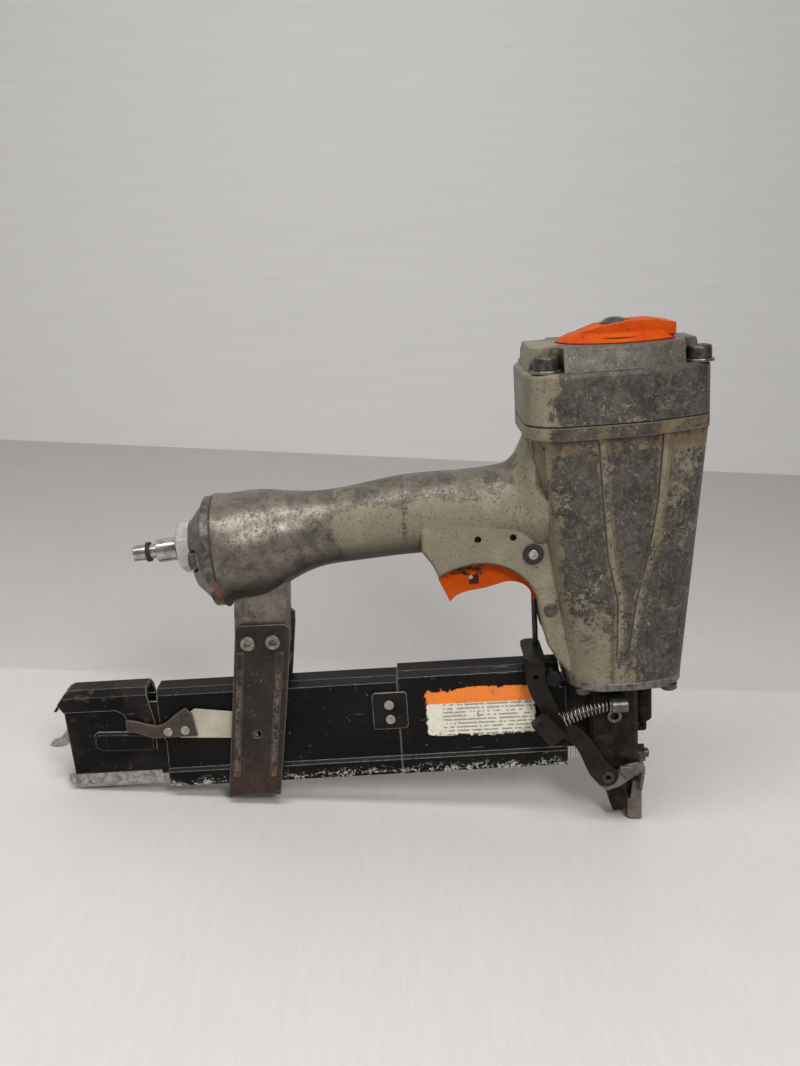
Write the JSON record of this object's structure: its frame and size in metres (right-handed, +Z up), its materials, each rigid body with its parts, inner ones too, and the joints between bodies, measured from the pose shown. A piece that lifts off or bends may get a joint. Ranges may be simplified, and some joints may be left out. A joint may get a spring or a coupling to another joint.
{
  "type": "pneumatic staple gun",
  "caption": "Compressed-air staple gun with hollow handle, sprung work contact, sliding magazine and loaded staples.",
  "frame": {"origin": "on the driver's line, at the level of the work-contact foot's sole, which is where a staple leaves the tool", "axes": "+X forward, from the air plug towards the head; +Y to the tool's left; +Z up along the driver's line, against the driving direction"},
  "size_m": [0.3381, 0.0762, 0.2595],
  "materials": {
    "cast_paint": "worn beige-grey enamel, chipped to dark metal",
    "magazine_paint": "black enamel over pressed steel, chipped along edges",
    "hanger_paint": "dark brown, rusty pressed steel",
    "orange_plastic": "faded, grimy orange moulding",
    "dark_steel": "oily blackened steel, worn",
    "bright_steel": "plain steel, scuffed",
    "screw_steel": "blackened socket screws, grimy",
    "plug_steel": "plated steel, dulled",
    "aluminium": "turned",
    "rubber": "black rubber",
    "red_gasket": "red sealing ring, crumbling",
    "strip_plastic": "cream leaf, grimy",
    "label_film": "printed film, torn and scratched",
    "staple_wire": "galvanised, collated"
  },
  "bodies": {
    "tool": {"main_housing": "cast_paint", "cylinder_cap": "cast_paint", "cap_gasket": "rubber", "cap_screws": "screw_steel", "washers": "screw_steel", "deflector_screw": "screw_steel", "cylinder_sleeve": "aluminium", "bumper": "rubber", "base_plate": "dark_steel", "base_bolts": "screw_steel", "nose_body": "dark_steel", "nose_front_plate": "dark_steel", "nose_tube": "dark_steel", "nose_clamp_bolt": "screw_steel", "spring_post": "dark_steel", "contact_spring": "bright_steel", "head_valve_spring": "bright_steel", "trigger_pin": "bright_steel", "pin_boot": "rubber", "guide_pin": "bright_steel", "trigger_valve": "aluminium", "valve_pins": "bright_steel", "end_gasket": "red_gasket", "end_cap": "dark_steel", "end_bolts": "screw_steel", "inlet_bushing": "dark_steel", "air_plug": "plug_steel", "plug_seal": "rubber", "magazine_front": "magazine_paint", "magazine_middle": "magazine_paint", "joint_plates": "magazine_paint", "joint_rivets": "bright_steel", "warning_label": "label_film", "guide_boss": "rubber", "hanger_bracket": "hanger_paint", "hanger_screws": "screw_steel"},
    "deflector": {"exhaust_deflector": "orange_plastic"},
    "driver": {"piston": "aluminium", "piston_ring": "rubber", "driver_blade": "bright_steel"},
    "head_valve_body": {"head_valve": "aluminium"},
    "work_contact": {"contact_foot": "hanger_paint", "contact_arm": "dark_steel", "link_rod": "bright_steel", "arm_pin": "bright_steel"},
    "trigger_body": {"trigger": "orange_plastic", "lever_pin": "bright_steel"},
    "trigger_lever_body": {"trigger_lever": "bright_steel"},
    "valve_stem_body": {"valve_stem": "bright_steel"},
    "magazine_slide_body": {"staple_rail": "bright_steel", "staples": "staple_wire", "rear_slide_body": "magazine_paint", "rear_slide_cover": "magazine_paint", "bottom_shoe": "bright_steel", "pull_hook": "dark_steel"},
    "pusher_body": {"pusher": "dark_steel", "pusher_spring": "bright_steel"},
    "latch_body": {"latch_strip": "strip_plastic", "latch_lever": "dark_steel", "latch_rivets": "bright_steel"}
  },
  "joints": [
    {"name": "deflector_turn", "type": "hinge", "parent": "tool", "child": "deflector", "pos_m": [0, 0, 0.2494], "axis": [0, 0, 1], "continuous": true},
    {"name": "piston_stroke", "type": "slide", "parent": "tool", "child": "driver", "axis": [0, 0, -1], "range_m": [0, 0.0795]},
    {"name": "head_valve_lift", "type": "slide", "parent": "tool", "child": "head_valve_body", "axis": [0, 0, 1], "range_m": [0, 0.0035], "stiffness_N_per_m": 2000, "springref_m": -0.005, "deforming": ["head_valve_spring"]},
    {"name": "work_contact_lift", "type": "slide", "parent": "tool", "child": "work_contact", "axis": [0, 0, 1], "range_m": [0, 0.0055], "stiffness_N_per_m": 800, "springref_m": -0.01, "deforming": ["contact_spring"]},
    {"name": "trigger_pull", "type": "hinge", "parent": "tool", "child": "trigger_body", "pos_m": [-0.0435, 0, 0.1517], "axis": [0, 1, 0], "range_deg": [0, 9], "stiffness_Nm_per_rad": 0.8, "springref_deg": -5.73},
    {"name": "trigger_lever_tilt", "type": "hinge", "parent": "trigger_body", "child": "trigger_lever_body", "pos_m": [-0.0735, 0, 0.1395], "axis": [0, -1, 0], "range_deg": [0, 10]},
    {"name": "valve_stem_lift", "type": "slide", "parent": "tool", "child": "valve_stem_body", "axis": [0, 0, 1], "range_m": [0, 0.0025]},
    {"name": "magazine_slide", "type": "slide", "parent": "tool", "child": "magazine_slide_body", "axis": [-1, 0, 0], "range_m": [0, 0.12]},
    {"name": "pusher_travel", "type": "slide", "parent": "magazine_slide_body", "child": "pusher_body", "axis": [1, 0, 0], "range_m": [-0.095, 0], "stiffness_N_per_m": 30, "springref_m": 0.1},
    {"name": "latch_spring", "type": "hinge", "parent": "tool", "child": "latch_body", "pos_m": [-0.19, -0.0093, 0.0675], "axis": [0, 0, 1], "range_deg": [0, 4], "stiffness_Nm_per_rad": 2, "springref_deg": -2.86}
  ],
  "couplings": [
    {"joint": "trigger_lever_tilt", "follows": "work_contact_lift", "rad_per_m": 30.8},
    {"joint": "valve_stem_lift", "follows": "trigger_pull", "m_per_rad": 0.0153}
  ]
}
